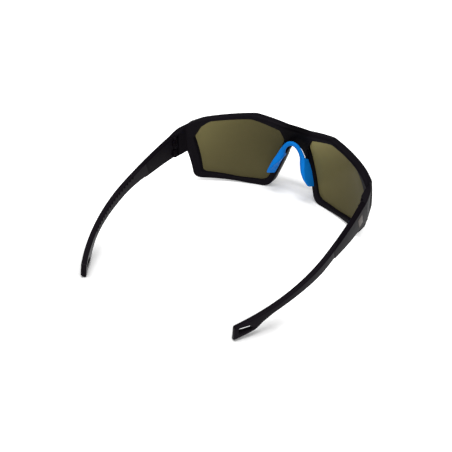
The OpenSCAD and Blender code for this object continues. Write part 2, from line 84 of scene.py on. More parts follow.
# The scene's own: corners of the bridge, bulge of the end pieces, lower bevel at the hinge, end and notches of the tips
BRIDGE_FILL, END_BULGE, HINGE_BEVEL, TIP_EDGE = 2.1, 1.4, 2.4, 0.9
NOTCH_FROM, NOTCH_TO, NOTCH_PITCH = 41.0, 92.0, 3.0
# How finely outlines and plates are divided
OUTLINE_STEP, PLATE_GRID = 0.6, 1.6
RINGS = (0.1, 0.3, 0.6, 1.0, 1.5, 2.1)


# Small helpers
def smooth(table, x):
    """Value at x on a smooth curve without overshoot through a table of (x, value)."""
    xs = [p[0] for p in table]
    ys = [p[1] for p in table]
    if x <= xs[0]:
        return ys[0]
    if x >= xs[-1]:
        return ys[-1]
    i = max(k for k in range(len(xs)) if xs[k] <= x)
    gaps = [xs[k + 1] - xs[k] for k in range(len(xs) - 1)]
    rises = [(ys[k + 1] - ys[k]) / gaps[k] for k in range(len(gaps))]

    def tangent(k):
        if k == 0 or k == len(xs) - 1:
            return rises[min(k, len(rises) - 1)]
        a, b = rises[k - 1], rises[k]
        return 0.0 if a * b <= 0 else 2 * a * b / (a + b)

    h = gaps[i]
    t = (x - xs[i]) / h
    return (
        ys[i] * (1 + 2 * t) * (1 - t) ** 2
        + ys[i + 1] * t * t * (3 - 2 * t)
        + h * tangent(i) * t * (1 - t) ** 2
        - h * tangent(i + 1) * t * t * (1 - t)
    )


def ease(x, a, b):
    """Smooth step from 0 at a to 1 at b."""
    t = min(1.0, max(0.0, (x - a) / (b - a)))
    return t * t * (3 - 2 * t)


def rounded(corners, steps=8):
    """Outline with arcs at its corners, each (x, z, radius)."""
    most = 0.48  # of a side, for the arc at one of its ends
    out = []
    n = len(corners)
    for i, (x, z, r) in enumerate(corners):
        p = Vector((x, z))
        a = Vector(corners[i - 1][:2]) - p
        b = Vector(corners[(i + 1) % n][:2]) - p
        u, v = a.normalized(), b.normalized()
        half = math.acos(max(-1.0, min(1.0, u.dot(v)))) / 2
        cut = min(r / math.tan(half), most * min(a.length, b.length))
        centre = p + (u + v).normalized() * cut / math.cos(half)
        spoke = p + u * cut - centre
        turn = -math.copysign(1, u.x * v.y - u.y * v.x) * (math.pi - 2 * half)
        for k in range(steps + 1):
            w = spoke.copy()
            w.rotate(Matrix.Rotation(turn * k / steps, 2))
            out.append((centre.x + w.x, centre.y + w.y))
    return np.array(out)


def resampled(points, step):
    """Closed outline with points at even spacing."""
    ring = np.vstack([points, points[:1]])
    run = np.r_[0, np.cumsum(np.linalg.norm(np.diff(ring, axis=0), axis=1))]
    t = np.linspace(0, run[-1], max(8, int(round(run[-1] / step))) + 1)[:-1]
    return np.stack([np.interp(t, run, ring[:, 0]), np.interp(t, run, ring[:, 1])], 1)


def outward(outline):
    """Unit normals that point out of an anticlockwise outline."""
    d = np.roll(outline, -1, 0) - np.roll(outline, 1, 0)
    n = np.stack([d[:, 1], -d[:, 0]], 1)
    return n / np.linalg.norm(n, axis=1)[:, None]


def distance(points, loops):
    """Distance of points to closed outlines, and the nearest side, counted through all outlines."""
    batch = 800
    starts = np.vstack(loops)
    sides = np.vstack([np.roll(loop, -1, 0) - loop for loop in loops])
    square = (sides * sides).sum(1)
    best = np.empty(len(points))
    near = np.empty(len(points), int)
    for i in range(0, len(points), batch):
        q = points[i:i + batch, None, :] - starts[None]
        t = np.clip((q * sides[None]).sum(2) / square, 0, 1)
        gap = np.linalg.norm(q - t[..., None] * sides[None], axis=2)
        k = gap.argmin(1)
        best[i:i + batch] = gap[np.arange(len(k)), k]
        near[i:i + batch] = k
    return best, near


def inside(points, loop):
    """True where a point lies in a closed outline."""
    a, b = loop, np.roll(loop, -1, 0)
    x, z = points[:, 0:1], points[:, 1:2]
    crosses = (a[:, 1] > z) != (b[:, 1] > z)
    rise = np.where(b[:, 1] == a[:, 1], 1e-12, b[:, 1] - a[:, 1])
    hits = crosses & (x < (b[:, 0] - a[:, 0]) * (z - a[:, 1]) / rise + a[:, 0])
    return hits.sum(1) % 2 == 1


def sphere_y(x, z, r):
    """y of the front side of a sphere of radius r. All spheres of the front have the same middle."""
    return BASE_R - np.sqrt(r * r - x * x - (z - BASE_Z) ** 2)


class Solid:
    """Points and faces in millimetres."""

    def __init__(self, points=(), faces=()):
        self.points = [tuple(map(float, p)) for p in points]
        self.faces = [tuple(map(int, f)) for f in faces]

    def add(self, other):
        n = len(self.points)
        self.points += other.points
        self.faces += [tuple(i + n for i in f) for f in other.faces]
        return self

    def mirrored(self):
        return Solid([(-x, y, z) for x, y, z in self.points], [f[::-1] for f in self.faces])

    def object(self, name):
        mesh = bpy.data.meshes.new(name)
        mesh.from_pydata(self.points, [], self.faces)
        work = bmesh.new()
        work.from_mesh(mesh)
        bmesh.ops.remove_doubles(work, verts=work.verts, dist=1e-5)
        bmesh.ops.recalc_face_normals(work, faces=work.faces)
        work.to_mesh(mesh)
        work.free()
        obj = bpy.data.objects.new(name, mesh)
        scene.collection.objects.link(obj)
        return obj

    def cut(self, *cutters):
        """This solid less others."""
        obj = self.object("cut_work")
        for cutter in cutters:
            tool = cutter.object("cut_tool")
            step = obj.modifiers.new("cut", "BOOLEAN")
            step.operation = "DIFFERENCE"
            step.solver = "EXACT"
            step.object = tool
            ready = obj.evaluated_get(bpy.context.evaluated_depsgraph_get())
            mesh = bpy.data.meshes.new_from_object(ready)
            obj.modifiers.clear()
            obj.data = mesh
            bpy.data.objects.remove(tool)
        made = Solid([v.co for v in obj.data.vertices], [p.vertices for p in obj.data.polygons])
        bpy.data.objects.remove(obj)
        return made


def loft(rings):
    """Solid through rings of equal point counts, with flat ends."""
    n = len(rings[0])
    faces = []
    for i in range(len(rings) - 1):
        for j in range(n):
            k = (j + 1) % n
            faces.append((i * n + j, i * n + k, (i + 1) * n + k, (i + 1) * n + j))
    last = (len(rings) - 1) * n
    faces.append(tuple(range(n - 1, -1, -1)))
    faces.append(tuple(last + j for j in range(n)))
    return Solid([p for ring in rings for p in ring], faces)


def prism(outline, low, high, place, edge=0.0, steps=3):
    """An outline run from low to high with rounded edges. place(x, y, h) gives each point's place."""
    outline = np.asarray(outline, float)
    normals = outward(outline)
    levels = [(low, 0.0), (high, 0.0)]
    if edge > 0:
        turn = [math.pi / 2 * k / steps for k in range(steps + 1)]
        levels = [(low + edge * (1 - math.sin(a)), edge * (1 - math.cos(a))) for a in reversed(turn)]
        levels += [(high - edge * (1 - math.sin(a)), edge * (1 - math.cos(a))) for a in turn]
    return loft([[place(*p, h) for p in outline - normals * inset] for h, inset in levels])


def upright(x, y, h):
    return x, y, h


def block(low, high):
    (a, b, c), (d, e, f) = low, high
    return prism([(a, b), (d, b), (d, e), (a, e)], c, f, upright)


# Front: outlines of the lens openings, as shares of their width and height, and of the whole front, with radii
OPENING = [
    (0, 0.741, 3), (0.198, 0.011, 7), (0.52, 0, 40), (0.91, 0.079, 3.5), (1, 0.653, 3),
    (0.935, 0.81, 10), (0.83, 0.918, 6), (0.375, 1, 8), (0.05, 0.881, 1.5),
]
opening_corners = [(LENS_GAP / 2 + u * LENS_W, RIM_LOW + v * LENS_H, r) for u, v, r in OPENING]
nose_foot, temple_foot, temple_corner = opening_corners[1], opening_corners[3], opening_corners[4]
brow_end, brow_peak = opening_corners[6], opening_corners[7]
corner_x = LENS_GAP / 2 + LENS_W + RIM_SIDE
front_half = [
    # bridge and nose
    (LENS_GAP / 2 - RIM_NOSE - BRIDGE_FILL, BRIDGE_LOW, 6),
    (LENS_GAP / 2 - RIM_NOSE + 2, BRIDGE_LOW - 7.2, 14),
    (nose_foot[0] - NOSE_WALL, 0, 7),
    # lower rim
    (nose_foot[0] + 0.18 * LENS_W, 0, 40),
    (temple_foot[0] + 0.95 * RIM_SIDE, temple_foot[1] - 1.2 * RIM_LOW, 6),
    # end piece
    (corner_x, END_LOW + 1.6, 3),
    (corner_x, CORNER_TOP, 1),
    # brow
    (temple_corner[0] - 3.6, brow_end[1] + 0.44 * RIM_TOP, 20),
    (brow_peak[0] - 0.5, FRONT_H, 8),
    (LENS_GAP / 2 - 1.2, BRIDGE_LOW + BRIDGE_H, 10),
]
other_half = [(-x, z, r) for x, z, r in reversed(front_half)]
opening = resampled(rounded(opening_corners), OUTLINE_STEP)
front_outline = resampled(rounded(front_half + other_half), OUTLINE_STEP)

# Edge of the nose gap
nose_a = Vector((LENS_GAP / 2 - RIM_NOSE, BRIDGE_LOW))
nose_dir = (Vector(front_half[2][:2]) - nose_a).normalized()

# Path of a temple's outer face: a slight bow, a bend and a straight end. s is the way along it from the seam.
bow_y = SEAM_Y + 0.9 * BEND_AT


def heading(s):
    """Angle of the path, inwards."""
    if s > BEND_AT:
        return min(BEND, (s - BEND_AT) / BEND_R)
    return -math.atan(max(0.0, bow_y - SEAM_Y - s) / BOW_R)


def path_point(s):
    if s <= BEND_AT:
        return TEMPLE_X - max(0.0, bow_y - SEAM_Y - s) ** 2 / (2 * BOW_R), SEAM_Y + s
    a = heading(s)
    rest = max(0.0, s - BEND_AT - BEND_R * BEND)
    return (
        TEMPLE_X - BEND_R * (1 - math.cos(a)) - rest * math.sin(a),
        SEAM_Y + BEND_AT + BEND_R * math.sin(a) + rest * math.cos(a),
    )


# Fall of the temples' top edge, and the middle of the part's box in y
tip_y = path_point(TEMPLE_LEN)[1]
slope = (HINGE_TOP - TIP_H) / (tip_y - SEAM_Y)
to_nose = Vector((0, BASE_Z)) - nose_a
nose_reach = abs(nose_dir.x * to_nose.y - nose_dir.y * to_nose.x)
front_y = BASE_R - math.sqrt(FRONT_R ** 2 - nose_reach ** 2)
ORIGIN_Y = (front_y + tip_y + TIP_LEAN * (TIP_H - LOW_BEVEL)) / 2


def nose_x(z):
    """Half the nose gap at a height."""
    return nose_a.x + (BRIDGE_LOW - z) * nose_dir.x / -nose_dir.y


def top_z(y):
    """Height of a temple's top edge."""
    return HINGE_TOP - slope * (y - SEAM_Y)


def shell(outer, holes, rear_r, front_r, rear_edge, front_edge, groove=None):
    """A plate between two spheres with an outline and holes. rear_edge and front_edge give the width and
    the sharpness of each rounded edge at every outline point. groove runs round each hole."""
    slack, row_share, margin = 0.03, 0.866, 0.4 * PLATE_GRID
    loops = [outer] + holes
    points = list(loops)
    for loop, sign in [(outer, -1)] + [(hole, 1) for hole in holes]:
        n = outward(loop) * sign
        for d in RINGS:
            ring = loop + n * d
            gap, _ = distance(ring, loops)
            points.append(ring[gap > d - slack])
    low, high = outer.min(0), outer.max(0)
    xs = np.arange(low[0] + PLATE_GRID / 2, high[0], PLATE_GRID)
    zs = np.arange(low[1] + PLATE_GRID / 2, high[1], PLATE_GRID * row_share)
    field = np.array([(x + (k % 2) * PLATE_GRID / 2, z) for k, z in enumerate(zs) for x in xs])
    gap, _ = distance(field, loops)
    keep = inside(field, outer) & (gap > RINGS[-1] + margin)
    for hole in holes:
        keep &= ~inside(field, hole)
    points.append(field[keep])
    flat = np.vstack(points)
    edges = []
    start = 0
    for loop in loops:
        n = len(loop)
        edges += [(start + i, start + (i + 1) % n) for i in range(n)]
        start += n
    made = delaunay_2d_cdt([Vector(p) for p in flat], edges, [], 0, 1e-6)
    flat = np.array([(v.x, v.y) for v in made[0]])
    index = {old: new for new, olds in enumerate(made[3]) for old in olds}
    tris = np.array(made[2])
    middle = flat[tris].mean(1)
    keep = inside(middle, outer)
    for hole in holes:
        keep &= ~inside(middle, hole)
    tris = tris[keep]
    gap, near = distance(flat, loops)

    def edge_drop(edge):
        width, power = edge[near, 0], edge[near, 1]
        t = np.clip(1 - gap / width, 0, 1)
        return width * (1 - (1 - t ** power) ** (1 / power))

    x, z = flat[:, 0], flat[:, 1]
    rear = np.stack([x, sphere_y(x, z, rear_r + edge_drop(rear_edge)), z], 1)
    front = np.stack([x, sphere_y(x, z, front_r - edge_drop(front_edge)), z], 1)
    n = len(flat)
    solid = Solid(np.vstack([rear, front]), [tuple(t) for t in tris] + [tuple(t[::-1] + n) for t in tris])
    start = 0
    for number, loop in enumerate(loops):
        ids = [index[start + i] for i in range(len(loop))]
        start += len(loop)
        rows = [ids]
        if number and groove:
            depth, inner, outer_r = groove
            wide = loop + outward(loop) * depth
            for line, r in [(loop, inner), (wide, inner), (wide, outer_r), (loop, outer_r)]:
                rows.append(list(range(len(solid.points), len(solid.points) + len(line))))
                solid.points += [(p[0], float(sphere_y(p[0], p[1], r)), p[1]) for p in line]
        rows.append([i + n for i in ids])
        for a, b in zip(rows, rows[1:]):
            m = len(a)
            solid.faces += [(a[i], a[(i + 1) % m], b[(i + 1) % m], b[i]) for i in range(m)]
    return solid


def edge_table(loop, rule):
    """Edge width and sharpness at each outline point, evened out along the outline."""
    passes = 12
    raw = np.array([rule(p, n) for p, n in zip(loop, outward(loop))])
    for _ in range(passes):
        raw = (np.roll(raw, 1, 0) + raw + np.roll(raw, -1, 0)) / 3
    return raw


ROUND, FLAT = 2.0, 1.0  # sharpness of a round edge and of a chamfer


def rear_rule(p, n):
    """A small edge that is wider and flatter where the outline faces up."""
    small, wider, flatter = 0.3, 1.6, 0.5
    top = ease(n[1], 0.15, 0.6)
    return small + wider * top, ROUND - flatter * top


def front_rule(p, n):
    """A small edge that is wider beside the top of the nose gap."""
    small, wider = 0.5, 1.6
    beside = abs(p[0]) < 10 and p[1] < 38
    return small + wider * ease(p[1], 25, 30) * beside, ROUND


def even_edge(loop, width, sharpness=ROUND):
    return np.tile([width, sharpness], (len(loop), 1))


holes = [opening, (opening * [-1, 1])[::-1]]
rims = shell(
    front_outline, holes, BASE_R, FRONT_R,
    np.vstack([edge_table(front_outline, rear_rule)] + [even_edge(h, 0.45) for h in holes]),
    np.vstack([edge_table(front_outline, front_rule)] + [even_edge(h, 1.2, FLAT) for h in holes]),
    (GROOVE, LENS_REAR_R - LENS_CLEAR, LENS_FRONT_R + LENS_CLEAR),
)
lens_outline = opening + outward(opening) * (GROOVE - LENS_CLEAR)
lens_edge = even_edge(lens_outline, 0.2)
lens = shell(lens_outline, [], LENS_REAR_R, LENS_FRONT_R, lens_edge, lens_edge)

# End piece and hinge of the +X side
path_start = path_point(0)
hinge_x = path_start[0] - SKIN - SWING_GAP - KNUCKLE_R
hinge_y = SEAM_Y - HINGE_BACK
pocket_low, pocket_high = END_LOW + FLOOR_T, HINGE_TOP - ROOF_T
knuckle_h = (pocket_high - pocket_low - TONGUE_H - 4 * KNUCKLE_GAP) / 2
tongue_low = pocket_low + knuckle_h + 2 * KNUCKLE_GAP
upper_low = tongue_low + TONGUE_H + KNUCKLE_GAP
clear_r = KNUCKLE_R + SWING_GAP
FAR = 20  # reach of blocks that cut past a piece


def end_piece():
    """From the rim's corner back to the seam, with a pocket for the hinge. The bulge leaves its lower edge in line."""
    steps, root, overlap = 16, 2, 0.5
    front_x, back_x = corner_x - 0.4, corner_x - 0.8
    outer_a = (front_x, float(sphere_y(front_x, BASE_Z, BASE_R + 2.8)))
    outer_b = (path_start[0], SEAM_Y)
    inner_a = (back_x, float(sphere_y(back_x, BASE_Z, BASE_R + 1.4)))
    inner_b = (hinge_x - KNUCKLE_R - overlap, SEAM_Y)
    corner_y = float(sphere_y(corner_x, BASE_Z, FRONT_R))
    profile = [
        (corner_y + root, CORNER_TOP), (SEAM_Y - KNEE_BACK, HINGE_TOP + KNEE_UP), (SEAM_Y, HINGE_TOP),
    ]
    rings = []
    for k in range(steps + 1):
        t = k / steps
        bulge = END_BULGE * math.sin(math.pi * t ** 0.9)
        outer = [a + (b - a) * t for a, b in zip(outer_a, outer_b)]
        outer[0] += bulge
        inner = [a + (b - a) * t for a, b in zip(inner_a, inner_b)]
        wide = outer[0] - inner[0]
        bevel = min(BEVEL, 0.2 * wide)
        low_bevel = min(LOW_BEVEL, 0.45 * wide)
        high = float(np.interp(outer[1], *zip(*profile)))
        tall = high - END_LOW
        section = rounded([
            (0, bevel, 0.3), (bevel, 0, 0.3), (wide - bevel, 0, 0.2), (wide, bevel, 0.2),
            (wide, tall - bevel, 0.2), (wide - bevel, tall, 0.2), (low_bevel, tall, 0.5), (0, tall - low_bevel, 0.4),
        ], 3)
        ring = []
        for across, down in section:
            share = across / wide
            y = outer[1] + (inner[1] - outer[1]) * share
            z = high - down
            lean = bulge * (1 - share) * down / tall
            ring.append((outer[0] - across - lean, y - slope * (high - z) * t, z))
        rings.append(ring)
    wall_y, inner_x = hinge_y - clear_r, hinge_x - KNUCKLE_R
    return loft(rings).cut(
        block((inner_x - FAR, wall_y, pocket_low), (hinge_x + clear_r, wall_y + FAR, pocket_high)),
        block((inner_x - FAR, wall_y, 0), (inner_x, wall_y + FAR, FRONT_H)),
        block((inner_x - FAR, hinge_y, 0), (hinge_x, hinge_y + FAR, FRONT_H)),
    )


def barrel(r, low, high, tail):
    """A round lug on the hinge axis with a square tail, tail millimetres long, forwards or backwards."""
    steps, spacing, edge = 20, 0.35, 0.22
    turn = math.pi if tail < 0 else 0.0
    turns = [turn + math.pi * k / steps for k in range(steps + 1)]
    arc = [(hinge_x + r * math.cos(a), hinge_y - r * math.sin(a)) for a in turns]
    end = hinge_y + tail
    outline = arc + [(arc[-1][0], end), (arc[0][0], end)]
    area = sum(p[0] * q[1] - q[0] * p[1] for p, q in zip(outline, outline[1:] + outline[:1]))
    if area < 0:
        outline = outline[::-1]
    return prism(resampled(np.array(outline), spacing), low, high, upright, edge)


# Tabs of the nose saddle, and the whole front
pad_top = BRIDGE_LOW - 4.2
tab_x, tab_low = nose_x(pad_top) + 1.5, pad_top - 4.6
tab_root = float(sphere_y(tab_x, pad_top, BASE_R))
tab_outline = rounded([
    (tab_x, tab_root - 1, 0.1), (tab_x + TAB_T, tab_root - 1, 0.1),
    (tab_x + TAB_T, tab_root + TAB_LEN, 0.5), (tab_x, tab_root + TAB_LEN, 0.5),
], 4)
end = end_piece()
for low, high, r in [
    (END_LOW, pocket_low, KNUCKLE_R), (pocket_high, HINGE_TOP, KNUCKLE_R),
    (tongue_low, tongue_low + TONGUE_H, KNUCKLE_R - 0.4),
]:
    end.add(barrel(r, low, high, -(clear_r + 0.5)))
end.add(prism(tab_outline, tab_low, tab_low + TAB_H, upright, 0.3))
front_solid = Solid().add(rims).add(end).add(end.mirrored())

# Temples: tables over the way along the path of their height, thickness and lower bevel
JOINT_FROM = JOINT_AT - JOINT_SLANT
JOINT_DEPTHS = [(JOINT_FROM, 10.5), (JOINT_AT, 7.5)]
ARM_DEPTHS = [(0, HINGE_TOP - END_LOW)] + JOINT_DEPTHS
TIP_DEPTHS = JOINT_DEPTHS + [
    (TEMPLE_LEN - WAIST_FROM, 6.1), (TEMPLE_LEN - WAIST_TO, 4.4),
    (TEMPLE_LEN - FLARE_FROM, 5.8), (TEMPLE_LEN - FLARE_TO, 8.9), (TEMPLE_LEN, TIP_H),
]
THICK = [(0, ARM_T_HINGE), (14, ARM_T), (TEMPLE_LEN, ARM_T)]
LOW_BEVELS = [
    (0, HINGE_BEVEL), (JOINT_FROM, LOW_BEVEL), (JOINT_AT, LOW_BEVEL),
    (TEMPLE_LEN - WAIST_FROM, BEVEL), (TEMPLE_LEN - WAIST_TO, BEVEL), (TEMPLE_LEN - FLARE_TO, LOW_BEVEL),
]


def temple_point(s, across, down, rake):
    """A point so far in from the outer face and down from the top edge. rake takes it forwards on the way down."""
    x, y = path_point(s)
    a = heading(s)
    return x - math.cos(a) * across, y - math.sin(a) * across - rake * down, top_z(y) - down


def temple_ring(s, depths, step, slant, rake, inset=0.0):
    """One rounded cross-section: chamfered outer face, flat inner face. Its inner side is slant further forward."""
    t = smooth(THICK, s - slant)
    low = smooth(depths, s) - step
    cut = smooth(LOW_BEVELS, s)
    corners = [
        (0, BEVEL, 0.3), (BEVEL, 0, 0.3), (t - BEVEL, 0, 0.35), (t, BEVEL, 0.35),
        (t, low - BEVEL, 0.35), (t - BEVEL, low, 0.35), (cut, low, 0.5), (0, low - cut, 0.4),
    ]
    section = rounded(corners, 4)
    if inset:
        section = section - outward(section) * inset
    ring = []
    for across, down in section:
        here = s - slant * across / t
        if down > low / 2:
            down += smooth(depths, here) - smooth(depths, s)
        ring.append(temple_point(here, across, down, rake))
    return ring


def temple_arm():
    seam, plain_steps, joint_steps = 0.15, 16, 10
    stations = [(seam + (JOINT_FROM - seam) * k / plain_steps, 0.0) for k in range(plain_steps + 1)]
    slants = [JOINT_SLANT * k / joint_steps for k in range(1, joint_steps + 1)]
    stations += [(JOINT_FROM + q, q) for q in slants]
    solid = loft([temple_ring(s, ARM_DEPTHS, 0, q, slope) for s, q in stations])
    solid = solid.cut(
        block((hinge_x - FAR, hinge_y - FAR, 0), (hinge_x + clear_r, hinge_y + clear_r, FRONT_H)),
        badge_plate(extra=0.06, edge=0.0),
    )
    for low in (pocket_low + KNUCKLE_GAP, upper_low):
        solid.add(barrel(KNUCKLE_R, low, low + knuckle_h, clear_r + 1))
    return solid


def badge_plate(extra, edge):
    """Plate let into the outer face, with rounded corners and edges, or its pocket, larger by extra."""
    corner = 0.6
    w, h = BADGE_W + 2 * extra, BADGE_H + 2 * extra
    outline = rounded([(0, 0, corner), (w, 0, corner), (w, h, corner), (0, h, corner)], 4)

    def spot(u, v, across):
        return temple_point(BADGE_AT - extra + u, across, BADGE_DROP - extra + v, slope)

    return prism(resampled(outline, 0.4), -BADGE_PROUD - extra, BADGE_T - BADGE_PROUD + extra, spot, edge)


def cord_slot():
    """Cutter for the slot: chamfered on both faces, and with a ramp forwards on the outer one."""
    rise, corner, spacing, chamfer, ramp_len = 0.9, 0.7, 0.35, 0.5, 3.4
    x, y = path_point(TEMPLE_LEN - SLOT_FROM_END)
    z = top_z(y) / 2 + rise
    a, b = SLOT_LEN / 2, SLOT_H / 2
    corners = [(-a, -b, corner), (a, -b, corner), (a, b, corner), (-a + b, b, corner)]
    outline = resampled(rounded(corners, 5), spacing)
    along = (-math.sin(BEND), math.cos(BEND))
    out = (math.cos(BEND), math.sin(BEND))

    def spot(u, v, h):
        return x + along[0] * u + out[0] * h, y + along[1] * u + out[1] * h, z + v

    ahead = np.maximum(-outline[:, 0] / a, 0) ** 2
    ramp = np.stack([-ramp_len * ahead, 0.5 * ahead - 0.5 * ahead * outline[:, 1]], 1)
    # height over the outer face, widening, and share of the ramp
    levels = [
        (1, 1.5, 1.2), (0, chamfer, 1), (-chamfer, 0, 0),
        (chamfer - ARM_T, 0, 0), (-ARM_T, chamfer, 0), (-5, 1.9, 0),
    ]
    rings = []
    for h, wide, share in levels:
        rings.append([spot(u, v, h) for u, v in outline + outward(outline) * wide + ramp * share])
    return loft(rings)


TIP_BLEND = JOINT_AT + 18  # where the slant of the joint has run out


def tip_rake(s):
    """Square to the sloping top edge at first, then over to the lean of the end."""
    t = max(0.0, (s - TIP_BLEND) / (TEMPLE_LEN - TIP_BLEND))
    return slope * (1 - t) - TIP_LEAN * t


def grip_notch(s):
    """A small pocket in the inner face, under its top edge."""
    deep, proud, top, low, half = 0.8, 0.6, 0.35, 1.7, 0.65
    t, rake = smooth(THICK, s), tip_rake(s)
    quad = [(t - deep, top), (t + proud, top), (t + proud, low), (t - deep, low)]
    return loft([[temple_point(s + d, across, down, rake) for across, down in quad] for d in (-half, half)])


def temple_tip():
    start, joint_steps, spacing, edge_steps = JOINT_AT + 0.6, 12, 0.5, 4
    rings = []
    for k in range(joint_steps):
        t = k / joint_steps
        s = start + (TIP_BLEND - start) * t
        rings.append(temple_ring(s, TIP_DEPTHS, TIP_STEP * (1 - t), JOINT_SLANT * (1 - t), slope))
    for s in np.arange(TIP_BLEND, TEMPLE_LEN - 1, spacing):
        rings.append(temple_ring(s, TIP_DEPTHS, 0, 0, tip_rake(s)))
    for k in range(edge_steps + 1):
        a = math.pi / 2 * k / edge_steps
        s = TEMPLE_LEN - TIP_EDGE + TIP_EDGE * math.sin(a)
        rings.append(temple_ring(s, TIP_DEPTHS, 0, 0, -TIP_LEAN, TIP_EDGE * (1 - math.cos(a))))
    notches = [grip_notch(s) for s in np.arange(NOTCH_FROM, NOTCH_TO, NOTCH_PITCH)]
    return loft(rings).cut(cord_slot(), *notches)


# Nose saddle: a curve over the arch, then straight down the pad
PAD_SHIFT = 1.0
bend_z = BRIDGE_LOW + 0.3
ARCH = [
    Vector((0, NOSE_TOP)), Vector((3.4, NOSE_TOP)), Vector((nose_x(bend_z) + PAD_SHIFT, bend_z)),
    Vector((nose_x(pad_top) + PAD_SHIFT, pad_top)),
]
# Tables over the share of the way down the pad, below 0 on the arch
REAR = [
    (0, 0.55), (0.16, 0.675), (0.46, 0.95), (0.57, 0.99), (0.68, 1), (0.8, 0.97), (0.9, 0.925), (1, 0.87),
]
REAR_TURN = [(-0.1, 0), (0.05, 0.7), (0.27, 0.9), (0.48, 0)]
FREE = [(0.03, 1), (0.16, 0)]
REAR_MIX = [(0.16, 1), (0.26, 0.9), (0.37, 0.7), (0.47, 0.42), (0.58, 0.2), (0.7, 0)]
FRONT_MIX = [(0.05, 0), (0.32, 1)]
LOW_TAPER = [(0.7, 1), (1, 0.62)]
FLARE = [(0.05, 0), (0.2, -0.6), (0.35, -0.4), (0.6, -0.1), (1, -0.2)]
END_SLANT = [(0.65, 0), (1, 0.45)]
END_Y = 6.0
END_FROM, END_LEN = 1.94, 0.06  # rounding of the lower end, on the middle line


def saddle_line(t):
    """Middle line of half the saddle: 0 to 1 over the arch, then to 2 down the pad."""
    if t <= 1:
        u = 1 - t
        return ARCH[0] * u ** 3 + ARCH[1] * 3 * t * u * u + ARCH[2] * 3 * t * t * u + ARCH[3] * t ** 3
    z = pad_top - (pad_top - NOSE_LOW) * (t - 1)
    return Vector((nose_x(z) + PAD_SHIFT, z))


def saddle_ring(t):
    """Cross-section square to the middle line: thick over the arch, a fin with a thin rear edge down the pad."""
    step = 0.01
    p = saddle_line(t)
    z = p.y
    share = (pad_top - z) / (pad_top - NOSE_LOW)
    ahead, behind = saddle_line(min(t + step, 2)), saddle_line(max(t - step, 0))
    along = Vector((1, 0)) if t == 0 else (ahead - behind).normalized()
    n = Vector((-along.y, along.x))
    full = math.sqrt(max(0.0, 1 - max(0.0, (t - END_FROM) / END_LEN) ** 2))
    end, blunt = 0.3 + 0.7 * full, 0.9 * (1 - full)
    thick = smooth([(-0.16, ARCH_T), (0.16, SHOULDER_T)], share)
    rear_t = end * (PAD_REAR_T + (thick - PAD_REAR_T) * smooth(REAR_MIX, share))
    mix = smooth(FRONT_MIX, share)
    front_t = end * (mix * PAD_FRONT_T * smooth(LOW_TAPER, share) + (1 - mix) * thick)
    rear_out, front_out = thick / 2, thick / 2 + smooth(FLARE, share)
    rear_in, front_in = rear_out - rear_t, front_out - front_t
    rear, free, turn = PAD_DEEP * smooth(REAR, share), smooth(FREE, share), smooth(REAR_TURN, share)
    close = float(sphere_y(abs(p.x) + front_out, z, BASE_R)) + PAD_GAP + blunt
    yf = free * (rear - ARCH_DEEP) + (1 - free) * close
    yi, yo = rear - turn - 0.6 * blunt, rear + turn - 0.6 * blunt
    section = rounded([
        (front_in, yf, 0.35 * front_t), (rear_in, yi, 0.42 * rear_t),
        (rear_out, yo, 0.42 * rear_t), (front_out, yf, 0.35 * front_t),
    ], 6)
    slant = smooth(END_SLANT, share)
    return [(p.x + n.x * q[0], q[1], p.y + n.y * q[0] + slant * (q[1] - END_Y)) for q in section]


def nose_saddle():
    arch_steps, pad_steps = 22, 36
    times = [k / arch_steps for k in range(arch_steps + 1)]
    times += [1 + k / pad_steps for k in range(1, pad_steps - 2)]
    times += [1.93, END_FROM, 1.955, 1.968, 1.98, 1.99, 2.0]
    half = [saddle_ring(t) for t in times]
    other = [[(-x, y, z) for x, y, z in ring] for ring in half[:0:-1]]
    return loft(other + half)


# Materials
def nodes_of(name):
    mat = bpy.data.materials.new(name)
    mat.use_nodes = True
    tree = mat.node_tree
    return mat, tree, tree.nodes["Principled BSDF"]


def feed(tree, node, inputs):
    """Gives a node its inputs, by a socket's name or number: plain values, or outputs of other nodes."""
    for key, value in inputs.items():
        if isinstance(value, bpy.types.NodeSocket):
            tree.links.new(value, node.inputs[key])
        else:
            node.inputs[key].default_value = value


def add_node(tree, kind, inputs=None, **settings):
    node = tree.nodes.new("ShaderNode" + kind)
    for name, value in settings.items():
        setattr(node, name, value)
    feed(tree, node, inputs or {})
    return node


def calc(tree, operation, *values):
    return add_node(tree, "Math", dict(enumerate(values)), operation=operation).outputs["Value"]


def vector(tree, operation, *values):
    """Outputs of a vector node, Vector or Value."""
    return add_node(tree, "VectorMath", dict(enumerate(values)), operation=operation).outputs


def map_range(tree, value, start, end, low, high, curve="LINEAR"):
    inputs = {"Value": value, "From Min": start, "From Max": end, "To Min": low, "To Max": high}
    return add_node(tree, "MapRange", inputs, interpolation_type=curve).outputs["Result"]


def noise(tree, coords, scale, detail):
    return add_node(tree, "TexNoise", {"Vector": coords, "Scale": scale, "Detail": detail}).outputs["Fac"]


def spread(tree, value, low, high):
    """Noise from low to high. Its values lie mostly in the middle half."""
    return map_range(tree, value, 0.25, 0.75, low, high)


def blend_colour(tree, value, a, b):
    n = add_node(tree, "Mix", {"Factor": value}, data_type="RGBA")
    sockets = [s for s in n.inputs if s.type == "RGBA"]
    sockets[0].default_value = (*a, 1)
    sockets[1].default_value = (*b, 1)
    return [s for s in n.outputs if s.type == "RGBA"][0]


def bump(tree, height, strength, depth):
    return add_node(tree, "Bump", {"Height": height, "Strength": strength, "Distance": depth}).outputs["Normal"]


